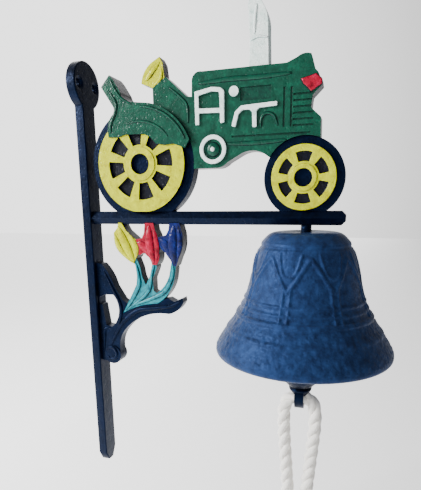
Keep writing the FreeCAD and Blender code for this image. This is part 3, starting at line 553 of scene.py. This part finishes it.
def turned_boss(name, middle_point, profile, level_mm, material):
    """A turned boss on both faces: profile is (radius, rise above the level), from rim to centre."""
    mesh = bmesh.new()
    for side in (-1, 1):
        rings = []
        for radius, rise in [(profile[0][0], -BOSS_BEDDED)] + profile:
            ring = []
            for step in range(BOSS_STEPS):
                turn = 2 * math.pi * step / BOSS_STEPS
                corner = (middle_point[0] + radius * math.cos(turn), side * (level_mm + rise),
                          middle_point[1] + radius * math.sin(turn))
                ring.append(mesh.verts.new(Vector(corner) * MM))
            rings.append(ring)
        bridge(mesh, rings)
        close_ends(mesh, rings)
    piece = mesh_piece(name, mesh, material)
    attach(piece, "bracket")


for detail, width_mm in (("engine_frame", 0.5), ("manifold", 0.5), ("filler_cap", 0.4), ("belt_pulley", 0.5)):
    for side in ("right", "left"):
        finish_node(f"{detail}_{side}", off_white, width_mm, 2)
pulley = middle_of("belt_pulley_right")
turned_boss("pulley_domes", pulley, [(4.6, 0.3), (4.0, 1.0), (2.8, 1.5), (1.4, 1.8), (0.3, 1.9)], body_half,
            bottle_green)
turned_boss("pulley_dots", pulley, [(1.5, 2.0), (1.2, 2.3), (0.3, 2.4)], body_half, off_white)


# ==================================================================================================
# Hanger. A steel eye bolt screwed up into the arm's end and dipped blue-black like the casting, with a
# zinc-plated washer and nut that carry the bell.
# ==================================================================================================
def zinc_plate(name):
    """Bright zinc plate on steel: fine scratches and dull patches."""
    material, tree, shader, coordinates = new_material(name)
    place = coordinates.outputs["Object"]
    marks = add_node(tree, "ShaderNodeTexNoise", {"Vector": place, "Scale": grain(0.8), "Detail": 5.0})
    gloss = add_node(tree, "ShaderNodeMapRange", {"Value": marks.outputs["Fac"], "To Min": 0.25,
                                                  "To Max": 0.55})
    bump = add_node(tree, "ShaderNodeBump", {"Height": marks.outputs["Fac"], "Distance": 0.05 * MM})
    tree.links.new(gloss.outputs[0], shader.inputs["Roughness"])
    tree.links.new(bump.outputs["Normal"], shader.inputs["Normal"])
    shader.inputs["Base Color"].default_value = linear("#b4b8bd")
    shader.inputs["Metallic"].default_value = 1.0
    return material


zinc = zinc_plate("zinc_plate")
finish_node("hanger_bolt", blue_black, 0.4, 2)
finish_node("hanger_washer", zinc, 0.3, 2)
finish_node("hanger_nut", zinc, 0.4, 2)


# ==================================================================================================
# Bell. Sand-cast iron with a plain crown and a flared lip, dipped blue-black; round its waist stand
# pointed arches on posts in low relief, two rails between the posts, and a ring, and below the ring the
# cast skin is coarser.
# ==================================================================================================
BELL_ROUND = 384
SECTORS = 8
bell_low, bell_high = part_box("bell")
bell_axis = (bell_low[0] + bell_high[0]) / 2
bell_top = bell_high[2]
# The outlines are drawn for a bell of this mouth radius and height, in mm, and stretched to the frame's
DRAWN_MOUTH = 57.8
DRAWN_HEIGHT = 83
mouth = (bell_high[0] - bell_low[0]) / 2 / MM / DRAWN_MOUTH
tall = (bell_high[2] - bell_low[2]) / MM / DRAWN_HEIGHT
outer = [(18.2, 0), (21.4, -0.6), (24.2, -2.3), (27.6, -6), (28.3, -7.5), (31.7, -17), (34.4, -28),
         (36.4, -36.5), (38.8, -44.5), (42, -51.8), (46.2, -58.5), (51, -66), (56.4, -75), (57.8, -79),
         (57.3, -81.6), (55, -83)]
inner = [(53.4, -81.7), (52.4, -75), (47, -67), (42.2, -59.5), (38, -52.5), (34.8, -45.5), (32.4, -37.5),
         (30.4, -29), (27.7, -18), (24.3, -10), (22, -5.2)]
outer_line = [Vector((point[0] * mouth, point[1] * tall)) for point in smooth_path(outer, 12)]
inner_line = [Vector((point[0] * mouth, point[1] * tall)) for point in smooth_path(inner, 4)]
CROWN_THICK = 5
BORE = 3.45


def stroke_distance(across, up, line):
    """How far a point of the unrolled bell is from a line of points, in millimetres."""
    here = Vector((across, up))
    nearest = 1e9
    for first, second in zip(line, line[1:]):
        run = second - first
        along = min(max((here - first).dot(run) / run.length_squared, 0), 1)
        nearest = min(nearest, (here - first - run * along).length)
    return nearest


def step_up(value, low, high):
    """Rises smoothly from 0 at low to 1 at high."""
    share = min(max((value - low) / (high - low), 0), 1)
    return share * share * (3 - 2 * share)


def ridge(distance, flat, foot):
    """A ridge's share of its full height: 1 on its flat top and 0 from its foot outwards."""
    return 1 - step_up(distance, flat, foot)


POST_TOP = -33.4
POST_HALF = 2.2
RING = -52.2
LOWER_RING = RING - 10
RAILS = (RING + 5.2, RING + 10.0)
CROWN_GROOVE = -8.6
BRANCH_REACH = 12.9
half_turn = math.pi / SECTORS
branch = smooth_path([(0.0, POST_TOP), (3.2, -29), (7.2, -22), (11.6, -15.6), (BRANCH_REACH, -14.3)], 6)
scoop = smooth_path([(0, -25.5), (3.4, -23.5), (6.0, -17), (7.2, -12)], 6)


def relief(turn, up, radius):
    """Height of the cast ornament on the bell, in millimetres, by the turn from the nearest post."""
    across = abs(turn) * radius
    widest = half_turn * radius
    height = 0.0
    if up > POST_TOP - 1:
        # The branches are drawn on a half sector as wide as their reach, and follow the bell's taper
        drawn = across / widest * BRANCH_REACH
        height = max(height, 0.75 * ridge(stroke_distance(drawn, up, branch), 0.6, 1.5))
        height = max(height, 0.6 * ridge(stroke_distance(drawn, up, scoop), 0.4, 1.2))
    if RING < up < POST_TOP + 2:
        height = max(height, 0.75 * ridge(abs(across - POST_HALF), 0.4, 1.2))
        for rail in RAILS:
            height = max(height, 0.7 * ridge(abs(up - rail), 0.5, 1.3))
    height = max(height, 1.0 * ridge(abs(up - RING), 0.9, 1.7))
    height = max(height, 0.5 * ridge(abs(up - LOWER_RING), 0.5, 1.8))
    height -= 0.6 * ridge(abs(up - CROWN_GROOVE), 0.4, 1.1)
    # The ornament fades out above the lip and below the crown
    return height * step_up(up, -76, -66) * (1 - step_up(up, -6.5, -5.0))


FIRST_POST = math.radians(-100)
ROUGH_LOW, ROUGH_HIGH = -76, -8
ROUGH_BELOW_RING = 0.34
ROUGH_ABOVE_RING = 0.16


def bell_angle(step):
    """The angle of one of the bell's columns; the first post stands near the front."""
    return FIRST_POST - half_turn + 2 * math.pi * step / BELL_ROUND


bell_mesh = bmesh.new()
rings = []
for line, cast in ((outer_line, True), (inner_line, False)):
    for index, (radius, up) in enumerate(line):
        before = line[max(index - 1, 0)]
        after = line[min(index + 1, len(line) - 1)]
        outward = Vector((-(after - before)[1], (after - before)[0])).normalized()
        ring = []
        sector_heights = []
        for step in range(BELL_ROUND // SECTORS):
            turn = (step / (BELL_ROUND // SECTORS) * 2 - 1) * half_turn
            sector_heights.append(relief(turn, up, radius) if cast else 0.0)
        for step in range(BELL_ROUND):
            angle = bell_angle(step)
            rise = sector_heights[step % (BELL_ROUND // SECTORS)]
            spot = Vector((radius * math.cos(angle), radius * math.sin(angle), up))
            if cast and ROUGH_LOW < up < ROUGH_HIGH:
                rough = ROUGH_BELOW_RING if up < RING - 2 else ROUGH_ABOVE_RING
                rise += rough * (noise.noise(spot * 0.45) + 0.6 * noise.noise(spot * 1.1))
            reach = radius + outward[0] * rise
            ring.append(bell_mesh.verts.new((bell_axis + reach * math.cos(angle) * MM,
                                             reach * math.sin(angle) * MM,
                                             bell_top + (up + outward[1] * rise) * MM)))
        rings.append(ring)
for radius, up in ((BORE, -CROWN_THICK), (BORE, 0)):
    ring = []
    for step in range(BELL_ROUND):
        angle = bell_angle(step)
        ring.append(bell_mesh.verts.new((bell_axis + radius * math.cos(angle) * MM,
                                         radius * math.sin(angle) * MM, bell_top + up * MM)))
    rings.append(ring)
bridge(bell_mesh, rings + rings[:1])
bell = mesh_piece("cast_bell", bell_mesh, dipped_enamel("bell_enamel", "#16233f", "#27406c", 0.44))
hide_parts("bell")
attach(bell, "bell")


# ==================================================================================================
# Clapper. A zinc-plated wire link through the eye bolt carries the dipped iron clapper, whose eye below
# the ball takes the pull rope.
# ==================================================================================================
finish_node("clapper_link", zinc, 0.2, 2)
finish_node("clapper", blue_black, 0.6)
BALL_OVER_END = 11 * MM
NECK_STEPS = 48
ball_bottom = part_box("clapper")[0][2] + BALL_OVER_END


def turned_piece(name, axis_x, profile, material, body):
    """A solid turned about a vertical axis from (radius in mm, height in m) points, bottom to top."""
    mesh = bmesh.new()
    turns = [2 * math.pi * step / NECK_STEPS for step in range(NECK_STEPS)]
    rings = []
    for radius, height in profile:
        rings.append([mesh.verts.new((axis_x + radius * MM * math.cos(turn), radius * MM * math.sin(turn),
                                      height)) for turn in turns])
    bridge(mesh, rings)
    close_ends(mesh, rings)
    piece = mesh_piece(name, mesh, material)
    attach(piece, body)


neck_profile = [(3.3, ball_bottom - 3.4 * MM), (4.2, ball_bottom - 1.8 * MM), (5.6, ball_bottom + 0.2 * MM),
                (7.4, ball_bottom + 2.4 * MM), (7.8, ball_bottom + 4.0 * MM)]
turned_piece("clapper_neck", bell_axis, neck_profile, blue_black, "clapper")


# ==================================================================================================
# Pull rope. One soft three-strand cotton cord pushed half through the clapper's eye, so two tails hang
# down from it; the ends are cut and left to fray.
# ==================================================================================================
def cotton(name):
    """Undyed bleached cotton: matt, with fine fibres along the strands and a soft sheen."""
    material, tree, shader, coordinates = new_material(name)
    place = coordinates.outputs["Object"]
    fibres = add_node(tree, "ShaderNodeTexNoise", {"Vector": place, "Scale": grain(0.7), "Detail": 6.0,
                                                   "Distortion": 0.6})
    tufts = add_node(tree, "ShaderNodeTexNoise", {"Vector": place, "Scale": grain(4), "Detail": 3.0})
    colour = add_node(tree, "ShaderNodeMix", {"Factor": tufts.outputs["Fac"], "A": linear("#ece8e0"),
                                              "B": linear("#fffdf8")}, data_type="RGBA")
    bump = add_node(tree, "ShaderNodeBump", {"Height": fibres.outputs["Fac"], "Distance": 0.35 * MM})
    tree.links.new(colour.outputs["Result"], shader.inputs["Base Color"])
    tree.links.new(bump.outputs["Normal"], shader.inputs["Normal"])
    shader.inputs["Roughness"].default_value = 0.95
    shader.inputs["Sheen Weight"].default_value = 0.3
    return material


def route_line(points):
    """Evenly spaced points on the smooth line that the rope's route gives."""
    curve = bpy.data.curves.new("route", "CURVE")
    curve.dimensions = "3D"
    curve.resolution_u = 24
    spline = curve.splines.new("NURBS")
    spline.points.add(len(points) - 1)
    for spot, point in zip(spline.points, points):
        spot.co = (*point, 1)
    spline.order_u = 3
    spline.use_endpoint_u = True
    holder = bpy.data.objects.new("route", curve)
    bpy.context.scene.collection.objects.link(holder)
    bpy.context.view_layer.update()
    mesh = bpy.data.meshes.new_from_object(holder.evaluated_get(bpy.context.evaluated_depsgraph_get()))
    line = [vertex.co.copy() for vertex in mesh.vertices]
    bpy.data.objects.remove(holder)
    bpy.data.meshes.remove(mesh)
    return line


def evenly(line, spacing):
    """The same line with points that far apart."""
    spots = [line[0].copy()]
    left = spacing
    for first, second in zip(line, line[1:]):
        run = (second - first).length
        done = 0.0
        while run - done >= left:
            done += left
            spots.append(first.lerp(second, done / run))
            left = spacing
        left -= run - done
    spots.append(line[-1].copy())
    return spots


def carried_frames(spots):
    """A direction and two crosswise directions at every point, carried along without twisting."""
    frames = []
    cross = None
    for index in range(len(spots)):
        ahead = (spots[min(index + 1, len(spots) - 1)] - spots[max(index - 1, 0)]).normalized()
        if cross is None:
            cross = ahead.orthogonal().normalized()
        cross = (cross - ahead * cross.dot(ahead)).normalized()
        frames.append((ahead, cross, ahead.cross(cross)))
    return frames


def tube(mesh, centres, radii, around):
    """A closed tube through the centres."""
    rows = []
    for centre, (ahead, cross, other), radius in zip(centres, carried_frames(centres), radii):
        row = []
        for step in range(around):
            turn = 2 * math.pi * step / around
            row.append(mesh.verts.new(centre + (cross * math.cos(turn) + other * math.sin(turn)) * radius))
        rows.append(row)
    bridge(mesh, rows)
    close_ends(mesh, rows)


ROPE_WIDE = 9.5 * MM
LAY = 27 * MM
STRANDS = 3
STRAND_RADIUS = 2.35
STRAND_SWELL = 0.08
STRAND_SIDES = 14
STEP_LENGTH = 0.9 * MM
THREADS = 90
THREAD_RADIUS = 0.22 * MM
THREAD_SIDES = 5
hole = Vector((bell_axis, 0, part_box("rope_right")[1][2])) - Vector((0, 0, ROPE_WIDE / 2))
bleached_cotton = cotton("bleached_cotton")
threads = random.Random(5)
for side, route in (
    ("right", [(0, 0, 0), (4.4, 0, 0), (10.62, 0, -6.22), (10.9, 0.4, -22), (8.6, 1.2, -50), (5.6, 0.4, -88),
               (5.9, -3.0, -124), (8.4, -3.4, -158), (7.6, 0.6, -187)]),
    ("left", [(0, 0, 0), (-4.4, 0, 0), (-10.62, 0, -6.22), (-10.9, -0.4, -22), (-8.4, -1.4, -50),
              (-5.4, -0.2, -86), (-6.4, 3.2, -121), (-9.4, 3.6, -152), (-12.6, 0.2, -179)]),
):
    path = route_line([hole + Vector(point) * MM for point in route])
    spots = evenly(path, STEP_LENGTH)
    frames = carried_frames(spots)
    strands = bmesh.new()
    for strand in range(STRANDS):
        centres = []
        radii = []
        for index, (spot, (ahead, cross, other)) in enumerate(zip(spots, frames)):
            turn = 2 * math.pi * (strand / STRANDS + index * STEP_LENGTH / LAY)
            centres.append(spot + (cross * math.cos(turn) + other * math.sin(turn)) * STRAND_RADIUS * MM)
            radii.append((STRAND_RADIUS + STRAND_SWELL * math.sin(index * 1.9 + strand)) * MM)
        tube(strands, centres, radii, STRAND_SIDES)
    rope = mesh_piece(f"cotton_rope_{side}", strands, bleached_cotton)
    fray = bmesh.new()
    end = spots[-1]
    away, cross, other = frames[-1]
    for _ in range(THREADS):
        turn = threads.uniform(0, 2 * math.pi)
        reach = 3.6 * MM * math.sqrt(threads.random())
        start = end - away * 3 * MM + (cross * math.cos(turn) + other * math.sin(turn)) * reach
        spread = (cross * math.cos(turn) + other * math.sin(turn)) * threads.uniform(0, 0.5)
        long = threads.uniform(5, 10) * MM
        sway = Vector([threads.uniform(-1, 1) for _ in range(3)]) * 1.2 * MM
        thread = smooth_path([start, start + away * long * 0.5 + spread * long * 0.3 + sway * 0.3,
                              start + away * long + spread * long + sway], 4)
        tube(fray, thread, [THREAD_RADIUS] * len(thread), THREAD_SIDES)
    frayed = mesh_piece(f"frayed_end_{side}", fray, bleached_cotton)
    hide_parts("rope_" + side)
    for piece in (rope, frayed):
        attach(piece, "rope")
